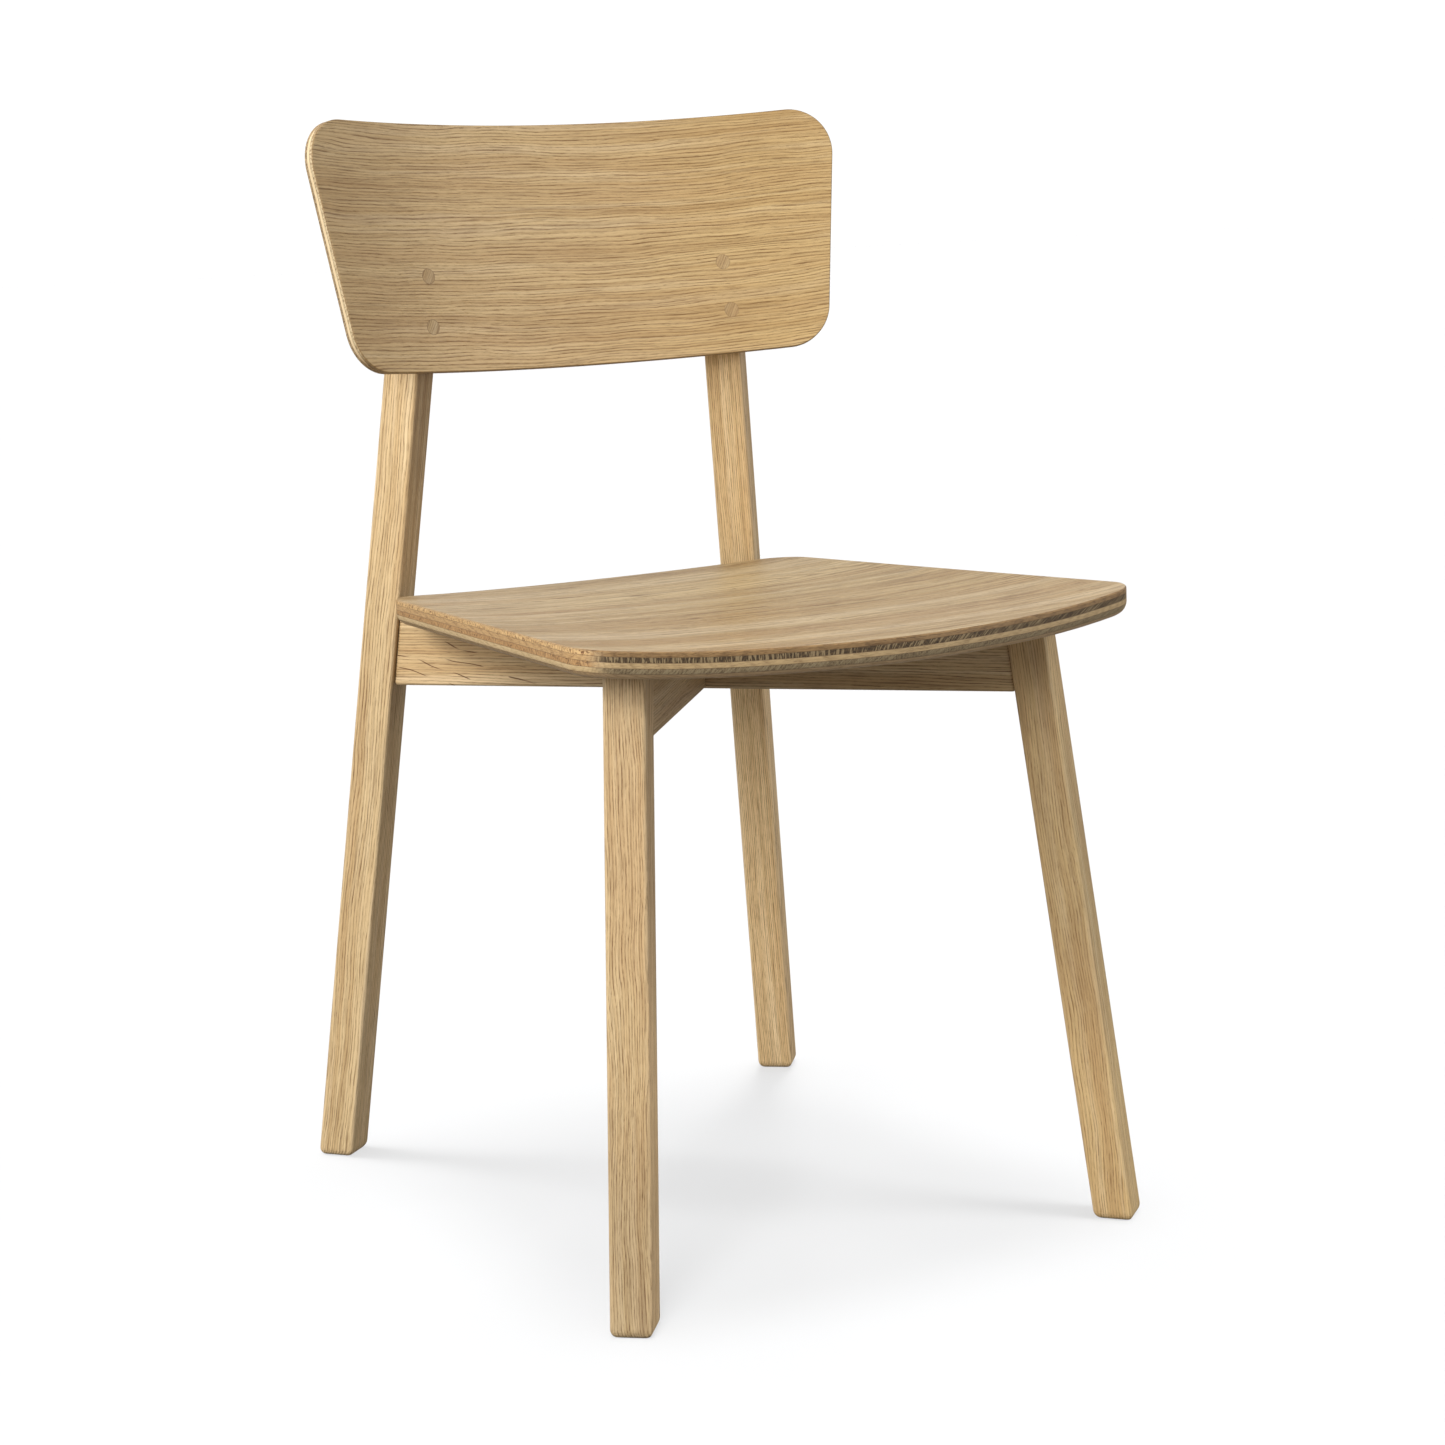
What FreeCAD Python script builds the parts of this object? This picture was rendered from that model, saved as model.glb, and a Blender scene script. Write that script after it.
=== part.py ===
import FreeCAD, Part
import os
import math

os.makedirs("parts", exist_ok=True)
V = FreeCAD.Vector

# Dining chair. Units are millimetres.
# +X is the sitter's left-to-right axis, the front of the chair faces -Y,
# +Z is up, the floor is Z = 0 and the origin is under the middle of the chair.

# ---------------------------------------------------------------- dimensions
# legs: square section, turned so that one face looks along the diagonal
LEG_SIDE = 28.8
LEG_EASE = 2.2
LEG_TURN = 39.9                    # degrees from the Y axis to the diagonal
FOOT_ROUND = 4.6                   # inset of the rounded foot
FOOT_ROUND_H = 6.4                 # and its height
REAR_FOOT = (202.2, 255.8)         # axis on the floor, |x| and y
REAR_LEAN = (-0.1045, -0.1040)     # change of |x| and y per unit of height
FRONT_FOOT = (199.4, -225.9)
FRONT_LEAN = (-0.0878, 0.0990)
REAR_LEG_TOP = 714.2

# diagonal rails
RAIL_T = 21.0
RAIL_BOTTOM = 379.9                # at RAIL_REF_Y
RAIL_SLOPE = -0.0180
RAIL_REF_Y = 90.0
RAIL_EASE = 2.6
LAP_Z = 402.7

# seat panel, five plies, hollow across the width, tilted slightly back
PLY_T = 3.70
SEAT_PLIES = 5
SEAT_T = PLY_T * SEAT_PLIES
SEAT_Z = 455.6                     # top face at the side edges, at SEAT_REF_Y
SEAT_REF_Y = 110.0
SEAT_SLOPE = -0.0124
SEAT_SAG = 10.2
SEAT_HALF_FRONT = 222.0
SEAT_HALF_BACK = 175.0
SEAT_Y_FRONT = -232.0              # front corners
SEAT_BOW_FRONT = 42.0
SEAT_Y_BACK = 176.2
SEAT_BOW_BACK = 12.0
SEAT_R_FRONT = 31.0
SEAT_R_BACK = 45.0
SEAT_ROUND_UNDER = 9.8             # rounding of the lower rim
SEAT_EASE = 0.9

# backrest panel, three plies, part of a cylinder
BACK_PLY_T = 2.6
BACK_T = 3 * BACK_PLY_T
BACK_R = 538.5                     # front face
BACK_C = (0.0, 190.3, 704.9)       # middle of the front face
BACK_RECLINE = 11.16
BACK_ARC_TOP = 233.8               # half widths, measured along the curve
BACK_ARC_BOTTOM = 205.2
BACK_H = 186.8
BACK_CORNER_TOP = 34.0
BACK_CORNER_BOTTOM = 34.0
BACK_EASE = 0.9

# fixings
PLUG_D = 11.5
PLUG_T = 2.4
PLUG_SPOTS = ((128.3, -21.6), (130.2, -59.8))   # along the curve, up the panel
BACK_SCREW_HEAD_D = 8.0
BACK_SCREW_HEAD_T = 2.0
BACK_SCREW_D = 4.0
BACK_SCREW_LEN = 18.0
DOWEL_D = 8.0
DOWEL_IN_LEG = 16.0
DOWEL_IN_RAIL = 20.0
DOWEL_UP = (13.0, 35.0)            # heights above the bottom of the rail
SEAT_SCREW_X = 80.0
SEAT_SCREW_D = 4.5
SEAT_SCREW_HEAD_D = 8.5
SEAT_SCREW_HEAD_T = 3.0
SEAT_SCREW_SINK_D = 10.0
SEAT_SCREW_SINK = 20.0
SEAT_SCREW_IN_SEAT = 9.5


def solid_of(shape):
    if shape.ShapeType == "Solid":
        return shape
    s = sorted(shape.Solids, key=lambda q: -q.Volume)
    return s[0]


def export(name, shapes):
    if not isinstance(shapes, (list, tuple)):
        shapes = [shapes]
    sols = []
    for s in shapes:
        sols.extend(s.Solids)
    out = sols[0] if len(sols) == 1 else Part.makeCompound(sols)
    ok = all(q.isValid() for q in sols)
    print(name, "solids", len(sols), "valid", ok, "cm3 %.2f" % (sum(q.Volume for q in sols) / 1000.0))
    out.exportStep("parts/" + name + ".step")
    return out


# ---------------------------------------------------------------- directions
TURN = math.radians(LEG_TURN)


def leg_data(rear, side):
    foot = REAR_FOOT if rear else FRONT_FOOT
    lean = REAR_LEAN if rear else FRONT_LEAN
    fx, fy = side * foot[0], foot[1]
    lx, ly = side * lean[0], lean[1]
    e1 = V(side * math.sin(TURN), math.cos(TURN) if rear else -math.cos(TURN), 0)
    e2 = V(-e1.y, e1.x, 0)
    return fx, fy, lx, ly, e1, e2


def axis_at(rear, side, z):
    fx, fy, lx, ly, e1, e2 = leg_data(rear, side)
    return V(fx + lx * z, fy + ly * z, z)


def square_wire(c, e1, e2, half, r):
    def p(a, b):
        return c + e1 * a + e2 * b
    k = r * (1 - math.sqrt(0.5))
    h = half
    edges = []
    corners = ((1, 1), (-1, 1), (-1, -1), (1, -1))
    pts = []
    for i, (a, b) in enumerate(corners):
        # start and end of each rounded corner, going round
        if i % 2 == 0:
            s, e = p(a * h, b * (h - r)), p(a * (h - r), b * h)
        else:
            s, e = p(a * (h - r), b * h), p(a * h, b * (h - r))
        m = p(a * (h - k), b * (h - k))
        pts.append((s, m, e))
    for i in range(4):
        s, m, e = pts[i]
        edges.append(Part.Arc(s, m, e).toShape())
        edges.append(Part.makeLine(e, pts[(i + 1) % 4][0]))
    return Part.Wire(edges)


def make_leg(rear, side, top):
    fx, fy, lx, ly, e1, e2 = leg_data(rear, side)
    h = LEG_SIDE / 2.0

    def c(z):
        return V(fx + lx * z, fy + ly * z, z)
    f = FOOT_ROUND_H
    steps = [math.radians(q) for q in (0, 12, 26, 40, 55, 72, 90)]
    levels = [(f * (1 - math.cos(q)), FOOT_ROUND * (1 - math.sin(q))) for q in steps]
    wires = [square_wire(c(z), e1, e2, h - inset, LEG_EASE) for z, inset in levels]
    foot = Part.makeLoft(wires, True, True)
    stem = Part.Face(wires[-1]).extrude(V(lx * (top - f), ly * (top - f), top - f))
    return solid_of(foot.fuse(stem))


def leg_block(rear, side, z0, z1):
    # the leg with sharp edges, used to trim the rail ends
    fx, fy, lx, ly, e1, e2 = leg_data(rear, side)
    h = LEG_SIDE / 2.0
    c = V(fx + lx * z0, fy + ly * z0, z0)
    w = Part.makePolygon([c + e1 * h + e2 * h, c - e1 * h + e2 * h, c - e1 * h - e2 * h, c + e1 * h - e2 * h, c + e1 * h + e2 * h])
    return Part.Face(w).extrude(V(lx * (z1 - z0), ly * (z1 - z0), z1 - z0))


# ---------------------------------------------------------------- seat block
def sag_profile(dz):
    # three tangent arcs across the width, in the XZ plane, at SEAT_REF_Y
    xk = SEAT_HALF_FRONT / 2.0
    zk = SEAT_SAG * 0.5 ** 2.6
    base = SEAT_Z - SEAT_SAG + dz
    r1 = (xk * xk + zk * zk) / (2 * zk)
    a = math.asin(xk / r1)
    tx, tz = math.cos(a), math.sin(a)
    qx, qz = SEAT_HALF_FRONT - xk, SEAT_SAG - zk
    r2 = (qx * qx + qz * qz) / (2 * abs(tx * qz - tz * qx))
    # centre of the outer arc, on the normal through the knee
    cx, cz = xk - r2 * tz, zk + r2 * tx
    far = 236.0
    mid = 0.5 * (xk + far)

    def zo(x):
        return cz - math.sqrt(r2 * r2 - (x - cx) ** 2)
    p = [V(-far, 0, base + zo(far)), V(-mid, 0, base + zo(mid)), V(-xk, 0, base + zk),
         V(0, 0, base), V(xk, 0, base + zk), V(mid, 0, base + zo(mid)), V(far, 0, base + zo(far))]
    return [Part.Arc(p[0], p[1], p[2]).toShape(), Part.Arc(p[2], p[3], p[4]).toShape(), Part.Arc(p[4], p[5], p[6]).toShape()], p[0], p[6]


def seat_slab(d_top, d_bot):
    # space between two copies of the profile, swept front to back
    up, ul, ur = sag_profile(d_top)
    lo, ll, lr = sag_profile(d_bot)
    w = Part.Wire(up + [Part.makeLine(ur, lr)] + list(reversed([e.copy() for e in lo])) + [Part.makeLine(ll, ul)])
    y0, y1 = -310.0, 230.0
    f = Part.Face(w)
    f.translate(V(0, y0, SEAT_SLOPE * (y0 - SEAT_REF_Y)))
    return solid_of(f.extrude(V(0, y1 - y0, SEAT_SLOPE * (y1 - y0))))


def seat_outline_face():
    # straight sides, bowed front and back, rounded corners
    def spline(pts):
        b = Part.BSplineCurve()
        b.interpolate(pts)
        return b
    n = 12
    front = [V(SEAT_HALF_FRONT * u, SEAT_Y_FRONT - SEAT_BOW_FRONT * (1 - (u * u + 0.004) ** 0.85) / (1 - 0.004 ** 0.85), 0)
             for u in [i / float(n) for i in range(-n, n + 1)]]
    back = [V(SEAT_HALF_BACK * u, SEAT_Y_BACK + SEAT_BOW_BACK * (1 - u * u), 0)
            for u in [i / 6.0 for i in range(6, -7, -1)]]
    fe = spline(front).toShape()
    be = spline(back).toShape()
    re = Part.makeLine(front[-1], back[0])
    le = Part.makeLine(back[-1], front[0])
    face = Part.Face(Part.Wire([fe, re, be, le]))
    block = face.extrude(V(0, 0, 200))
    fr, bk = [], []
    for e in block.Edges:
        if abs(e.Length - 200) < 1e-6:
            y = e.Vertexes[0].Point.y
            (fr if y < 0 else bk).append(e)
    block = block.makeFillet(SEAT_R_FRONT, fr)
    bk = [e for e in block.Edges if abs(e.Length - 200) < 1e-6 and e.Vertexes[0].Point.y > 0
          and abs(abs(e.Vertexes[0].Point.x) - SEAT_HALF_BACK) < 0.01]
    block = block.makeFillet(SEAT_R_BACK, bk)
    block.translate(V(0, 0, 370))
    return block


outline = seat_outline_face()
seat_raw = solid_of(outline.common(seat_slab(0.0, -SEAT_T)))


def rim_edges(shape, dz):
    # edges of the block that lie on the swept profile shifted by dz
    slab = seat_slab(dz + 0.02, dz - 0.02)
    out = []
    for e in shape.Edges:
        m = e.valueAt(0.5 * (e.FirstParameter + e.LastParameter))
        if slab.isInside(m, 1e-4, True):
            v = e.tangentAt(0.5 * (e.FirstParameter + e.LastParameter))
            if abs(v.z) < 0.7:
                # leave out the seams that run across the face
                seam = abs(abs(m.x) - SEAT_HALF_FRONT / 2.0) < 1e-3 and e.Length > 200
                if not seam:
                    out.append(e)
    return out


def seat_variants():
    # best first: both rims rounded, then the upper rim broken by a small flat, then flats on both
    for low, high, size in (("makeFillet", "makeFillet", SEAT_ROUND_UNDER), ("makeFillet", "makeChamfer", SEAT_ROUND_UNDER),
                            ("makeFillet", "makeChamfer", SEAT_ROUND_UNDER - 0.9), ("makeChamfer", "makeChamfer", 0.72 * SEAT_ROUND_UNDER)):
        try:
            body = solid_of(getattr(seat_raw, high)(SEAT_EASE, rim_edges(seat_raw, 0.0)))
            body = solid_of(getattr(body, low)(size, rim_edges(body, -SEAT_T)))
            cuts = [body.common(seat_slab(-i * PLY_T, -(i + 1) * PLY_T)) for i in range(SEAT_PLIES)]
            total = sum(c.Volume for c in cuts)
            good = body.isValid() and all(c.isValid() and len(c.Solids) == 1 for c in cuts)
            print("seat rims", low, high, size, "valid", good, "ratio %.4f" % (total / seat_raw.Volume))
            if good and 0.95 < total / seat_raw.Volume < 1.0 and abs(total - body.Volume) < 1e-3 * body.Volume:
                return body
        except Exception as err:
            print("seat rims", low, high, size, err)
    return solid_of(seat_raw.makeChamfer(0.72 * SEAT_ROUND_UNDER, rim_edges(seat_raw, -SEAT_T)))


seat_body = seat_variants()
plies = []
for i in range(SEAT_PLIES):
    plies.append(solid_of(seat_body.common(seat_slab(-i * PLY_T, -(i + 1) * PLY_T))))

# ---------------------------------------------------------------- backrest
B = math.radians(BACK_RECLINE)
BC = V(*BACK_C)
BX = V(1, 0, 0)
BV = V(0, math.sin(B), math.cos(B))
BN = V(0, -math.cos(B), math.sin(B))
B_AXIS = BC + BN * BACK_R           # centre of the curve, in front of the panel


def back_point(u, v, off=0.0):
    # off is measured away from the sitter
    th = u / BACK_R
    r = BACK_R + off
    return B_AXIS + BX * (r * math.sin(th)) - BN * (r * math.cos(th)) + BV * v


def back_out(u):
    th = u / BACK_R
    return BX * math.sin(th) - BN * math.cos(th)


def cyl(r, v0, v1):
    return Part.makeCylinder(r, v1 - v0, B_AXIS + BV * v0, BV)


def back_shell(off0, off1, reach=150.0):
    return cyl(BACK_R + off1, -reach, reach).cut(cyl(BACK_R + off0, -reach - 5, reach + 5))


def half_space_box(point, normal, size=1200.0):
    # box that fills the side of a plane the normal points to
    n = V(normal)
    n.normalize()
    f = Part.makePlane(size, size)
    f.translate(V(-size / 2, -size / 2, 0))
    b = f.extrude(V(0, 0, size))
    rot = FreeCAD.Rotation(V(0, 0, 1), n)
    b.Placement = FreeCAD.Placement(point, rot)
    return b


back_body = back_shell(0.0, BACK_T)
hh = BACK_H / 2.0
keep_front = half_space_box(B_AXIS, BN)          # drop the far side of the cylinder
back_body = back_body.cut(keep_front)
back_body = back_body.cut(half_space_box(BC + BV * hh, BV))
back_body = back_body.cut(half_space_box(BC - BV * hh, BV * -1))
for s in (-1, 1):
    a = back_point(s * BACK_ARC_TOP, hh, BACK_T / 2.0)
    b = back_point(s * BACK_ARC_BOTTOM, -hh, BACK_T / 2.0)
    rad = back_out(s * 0.5 * (BACK_ARC_TOP + BACK_ARC_BOTTOM))
    n = (a - b).cross(rad)
    if n.x * s < 0:
        n = n * -1
    back_body = back_body.cut(half_space_box((a + b) * 0.5, n))
back_body = solid_of(back_body)


def near_edges(shape, pts, tol):
    out = []
    for e in shape.Edges:
        if e.Length > 30:
            continue
        m = e.valueAt(0.5 * (e.FirstParameter + e.LastParameter))
        if min((m - p).Length for p in pts) < tol:
            out.append(e)
    return out


top_pts = [back_point(s * BACK_ARC_TOP, hh, BACK_T / 2.0) for s in (-1, 1)]
bot_pts = [back_point(s * BACK_ARC_BOTTOM, -hh, BACK_T / 2.0) for s in (-1, 1)]
back_body = solid_of(back_body.makeFillet(BACK_CORNER_TOP, near_edges(back_body, top_pts, 2.0)))
back_body = solid_of(back_body.makeFillet(BACK_CORNER_BOTTOM, near_edges(back_body, bot_pts, 2.0)))
try:
    rim = []
    for e in back_body.Edges:
        m = e.valueAt(0.5 * (e.FirstParameter + e.LastParameter))
        ends = [v.Point for v in e.Vertexes]
        q = [m] + ends
        radii = []
        for p in q:
            d = p - B_AXIS
            d = d - BV * d.dot(BV)
            radii.append(d.Length)
        if all(abs(r - BACK_R) < 1e-3 for r in radii) or all(abs(r - BACK_R - BACK_T) < 1e-3 for r in radii):
            rim.append(e)
    eased = solid_of(back_body.makeFillet(BACK_EASE, rim))
    if eased.isValid() and eased.Volume > 0.9 * back_body.Volume:
        back_body = eased
    print("backrest rim eased", len(rim))
except Exception as err:
    print("backrest rim left sharp", err)

back_plies = []
for i in range(3):
    back_plies.append(solid_of(back_body.common(back_shell(i * BACK_PLY_T, (i + 1) * BACK_PLY_T))))

# ---------------------------------------------------------------- legs
leg_fl = make_leg(False, -1, 470.0)
leg_fr = make_leg(False, 1, 470.0)
leg_rl = make_leg(True, -1, 760.0)
leg_rr = make_leg(True, 1, 760.0)

under_seat = seat_slab(-SEAT_T + 60.0, -SEAT_T)     # everything above the underside
leg_fl = solid_of(leg_fl.cut(under_seat))
leg_fr = solid_of(leg_fr.cut(under_seat))


def trim_rear(leg, side):
    # flat top square to the leg, then the front corner cut to the panel's back
    up = V(side * REAR_LEAN[0], REAR_LEAN[1], 1)
    leg = leg.cut(half_space_box(axis_at(True, side, REAR_LEG_TOP), up))
    return solid_of(leg.cut(cyl(BACK_R + BACK_T, -170.0, 150.0)))


leg_rl = trim_rear(leg_rl, -1)
leg_rr = trim_rear(leg_rr, 1)


# ---------------------------------------------------------------- rails
def rail_line(side):
    # from the rear leg on this side to the front leg on the other side
    z = RAIL_BOTTOM + 24.0
    a = axis_at(True, side, z)
    b = axis_at(False, -side, z)
    return V(a.x, a.y, 0), V(b.x, b.y, 0)


def rail_z(y):
    return RAIL_BOTTOM + RAIL_SLOPE * (y - RAIL_REF_Y)


def rail_block(side, t, grow=0.0):
    a, b = rail_line(side)
    d = b - a
    d.normalize()
    n = V(-d.y, d.x, 0)
    h = t / 2.0 + grow
    pa = V(a.x, a.y, rail_z(a.y))
    pb = V(b.x, b.y, rail_z(b.y))
    w = Part.makePolygon([pa + n * h, pa + n * h + V(0, 0, 90), pa - n * h + V(0, 0, 90), pa - n * h, pa + n * h])
    return solid_of(Part.Face(w).extrude(pb - pa))


def make_rail(side):
    r = rail_block(side, RAIL_T)
    r = r.cut(leg_block(True, side, 300, 520))
    r = r.cut(leg_block(False, -side, 300, 520))
    r = solid_of(r.cut(under_seat))
    # ease every edge except those along the top
    a, b = rail_line(side)
    sel = []
    for e in r.Edges:
        m = e.valueAt(0.5 * (e.FirstParameter + e.LastParameter))
        low_edge = abs(m.z - rail_z(m.y)) < 0.5
        upright = e.Length < 75 and abs(e.tangentAt(0.5 * (e.FirstParameter + e.LastParameter)).z) > 0.9
        if low_edge or upright:
            sel.append(e)
    try:
        f = solid_of(r.makeFillet(RAIL_EASE, sel))
        if f.isValid():
            return f
    except Exception as err:
        print("rail easing, second try", err)
    long_low = [e for e in sel if e.Length > 100]
    return solid_of(r.makeFillet(RAIL_EASE, long_low))


rail_a = make_rail(-1)     # rear left to front right
rail_b = make_rail(1)      # rear right to front left

# half lap where the rails cross: the upper half comes off rail a, the lower half off rail b
box_up = Part.makeBox(300, 300, 120, V(-150, -130, LAP_Z))
box_dn = Part.makeBox(300, 300, 120, V(-150, -130, LAP_Z - 120))
notch_a = rail_block(1, RAIL_T).common(box_up)
notch_b = rail_block(-1, RAIL_T).common(box_dn)
rail_a = solid_of(rail_a.cut(notch_a))
rail_b = solid_of(rail_b.cut(notch_b))

# ---------------------------------------------------------------- dowels
dowels = []
dowel_by_leg = {}
dowel_by_rail = {-1: [], 1: []}
for side in (-1, 1):
    a, b = rail_line(side)
    d = b - a
    d.normalize()
    for rear, leg_side, direction in ((True, side, d), (False, -side, d * -1)):
        key = (rear, leg_side)
        dowel_by_leg[key] = []
        for up in DOWEL_UP:
            c = axis_at(rear, leg_side, rail_z((a if rear else b).y) + up)
            # the rail line at this height, on the leg's inner face
            base = a if rear else b
            p = V(base.x, base.y, c.z)
            # distance from the line's start to the leg's inner face
            fx, fy, lx, ly, e1, e2 = leg_data(rear, leg_side)
            n = e1 * -1
            t = (c + n * (LEG_SIDE / 2.0) - p).dot(n) / direction.dot(n)
            face = p + direction * t
            start = face - direction * DOWEL_IN_LEG
            dw = Part.makeCylinder(DOWEL_D / 2.0, DOWEL_IN_LEG + DOWEL_IN_RAIL, start, direction)
            dowels.append(dw)
            dowel_by_leg[key].append(dw)
            dowel_by_rail[side].append(dw)

for dw in dowel_by_leg[(True, -1)]:
    leg_rl = leg_rl.cut(dw)
for dw in dowel_by_leg[(True, 1)]:
    leg_rr = leg_rr.cut(dw)
for dw in dowel_by_leg[(False, -1)]:
    leg_fl = leg_fl.cut(dw)
for dw in dowel_by_leg[(False, 1)]:
    leg_fr = leg_fr.cut(dw)
for dw in dowel_by_rail[-1]:
    rail_a = rail_a.cut(dw)
for dw in dowel_by_rail[1]:
    rail_b = rail_b.cut(dw)

# ---------------------------------------------------------------- backrest fixings
plugs, back_screws = [], []
for s in (-1, 1):
    for u, v in PLUG_SPOTS:
        u = s * u
        out = back_out(u)
        p0 = back_point(u, v, 0.0)
        # plug: fills the hole from the front face to the screw head
        plug = Part.makeCylinder(PLUG_D / 2.0, PLUG_T + 3.0, p0 - out * 3.0, out)
        plug = solid_of(plug.common(back_shell(0.0, BACK_T)))
        head = Part.makeCylinder(BACK_SCREW_HEAD_D / 2.0, BACK_SCREW_HEAD_T, p0 + out * PLUG_T, out)
        shank = Part.makeCylinder(BACK_SCREW_D / 2.0, BACK_SCREW_LEN, p0 + out * (PLUG_T + BACK_SCREW_HEAD_T), out)
        tip_at = p0 + out * (PLUG_T + BACK_SCREW_HEAD_T + BACK_SCREW_LEN)
        tip = Part.makeCone(BACK_SCREW_D / 2.0, 0.3, 4.0, tip_at, out)
        slot = Part.makeCylinder(1.6, 1.0, p0 + out * (PLUG_T - 0.01), out)
        screw = solid_of(head.fuse(shank).fuse(tip))
        hole = screw
        screw = solid_of(screw.cut(slot))
        plugs.append(plug)
        back_screws.append(screw)
        plug_hole = Part.makeCylinder(PLUG_D / 2.0, PLUG_T + 3.0, p0 - out * 3.0, out)
        for i in range(3):
            back_plies[i] = solid_of(back_plies[i].cut(plug_hole).cut(hole))
        if s < 0:
            leg_rl = solid_of(leg_rl.cut(hole))
        else:
            leg_rr = solid_of(leg_rr.cut(hole))

# ---------------------------------------------------------------- seat fixings
seat_screws = []
for side in (-1, 1):
    a, b = rail_line(side)
    for x in (-SEAT_SCREW_X, SEAT_SCREW_X):
        t = (x - a.x) / (b.x - a.x)
        y = a.y + t * (b.y - a.y)
        z0 = rail_z(y)
        # underside of the seat at this spot
        probe = Part.makeLine(V(x, y, 400), V(x, y, 470))
        zs = min(vv.Point.z for vv in probe.common(under_seat).Vertexes)
        zh = z0 + SEAT_SCREW_SINK
        sink = Part.makeCylinder(SEAT_SCREW_SINK_D / 2.0, SEAT_SCREW_SINK + 2, V(x, y, z0 - 2))
        head = Part.makeCylinder(SEAT_SCREW_HEAD_D / 2.0, SEAT_SCREW_HEAD_T, V(x, y, zh - SEAT_SCREW_HEAD_T))
        length = zs + SEAT_SCREW_IN_SEAT - zh
        shank = Part.makeCylinder(SEAT_SCREW_D / 2.0, length - 3.0, V(x, y, zh))
        tip = Part.makeCone(SEAT_SCREW_D / 2.0, 0.3, 3.0, V(x, y, zh + length - 3.0))
        screw = solid_of(head.fuse(shank).fuse(tip))
        # cross recess in the head
        c1 = Part.makeBox(5.0, 1.2, 1.6, V(x - 2.5, y - 0.6, zh - SEAT_SCREW_HEAD_T - 0.01))
        c2 = Part.makeBox(1.2, 5.0, 1.6, V(x - 0.6, y - 2.5, zh - SEAT_SCREW_HEAD_T - 0.01))
        pilot = shank.fuse(tip)
        seat_screws.append(solid_of(screw.cut(c1).cut(c2)))
        if side < 0:
            rail_a = solid_of(rail_a.cut(sink).cut(pilot))
        else:
            rail_b = solid_of(rail_b.cut(sink).cut(pilot))
        for i in range(SEAT_PLIES):
            if i >= 2:
                plies[i] = solid_of(plies[i].cut(pilot))

# ---------------------------------------------------------------- output
everything = []
everything.append(export("leg_front_left", leg_fl))
everything.append(export("leg_front_right", leg_fr))
everything.append(export("leg_rear_left", leg_rl))
everything.append(export("leg_rear_right", leg_rr))
everything.append(export("rail_rear_left_front_right", rail_a))
everything.append(export("rail_rear_right_front_left", rail_b))
everything.append(export("rail_dowels", dowels))
for i in range(SEAT_PLIES):
    names = ("seat_ply_1_top", "seat_ply_2", "seat_ply_3", "seat_ply_4", "seat_ply_5_bottom")
    everything.append(export(names[i], plies[i]))
everything.append(export("seat_screws", seat_screws))
everything.append(export("back_ply_front", back_plies[0]))
everything.append(export("back_ply_core", back_plies[1]))
everything.append(export("back_ply_rear", back_plies[2]))
everything.append(export("back_screws", back_screws))
everything.append(export("back_plugs", plugs))

bb = FreeCAD.BoundBox()
for s in everything:
    bb.add(s.optimalBoundingBox(False))
print("box X %.2f %.2f Y %.2f %.2f Z %.2f %.2f" % (bb.XMin, bb.XMax, bb.YMin, bb.YMax, bb.ZMin, bb.ZMax))
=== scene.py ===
import math

import bpy
from mathutils import Matrix, Vector

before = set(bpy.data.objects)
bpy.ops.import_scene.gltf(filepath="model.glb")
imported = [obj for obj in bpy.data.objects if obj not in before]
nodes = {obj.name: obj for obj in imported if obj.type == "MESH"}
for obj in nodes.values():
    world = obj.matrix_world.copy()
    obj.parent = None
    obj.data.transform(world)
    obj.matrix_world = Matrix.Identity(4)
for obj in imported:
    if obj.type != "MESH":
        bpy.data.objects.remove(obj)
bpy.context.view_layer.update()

scene = bpy.context.scene

# ------------------------------------------------------------------ geometry the grain follows (mm)
LEG_TURN = math.radians(39.9)
FEET = {
    "leg_front_left": (-199.4, -225.9, 0.0878, 0.0990, -1, False),
    "leg_front_right": (199.4, -225.9, -0.0878, 0.0990, 1, False),
    "leg_rear_left": (-202.2, 255.8, 0.1045, -0.1040, -1, True),
    "leg_rear_right": (202.2, 255.8, -0.1045, -0.1040, 1, True),
}
SEAT_Z, SEAT_SAG, SEAT_SLOPE, SEAT_REF_Y, SEAT_HALF = 455.6, 10.2, -0.0124, 110.0, 222.0
PLY_T = 3.70
BACK_R, BACK_PLY_T = 538.5, 2.6
RECLINE = math.radians(11.16)
BX = Vector((1, 0, 0))
BV = Vector((0, math.sin(RECLINE), math.cos(RECLINE)))
BN = Vector((0, -math.cos(RECLINE), math.sin(RECLINE)))
B_AXIS = Vector((0, 190.3, 704.9)) + BN * BACK_R
PLUGS = ((128.3, -21.6), (130.2, -59.8), (-128.3, -21.6), (-130.2, -59.8))
UP = (0.0, 0.0, 1.0)
LIFT = 1.0


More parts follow.
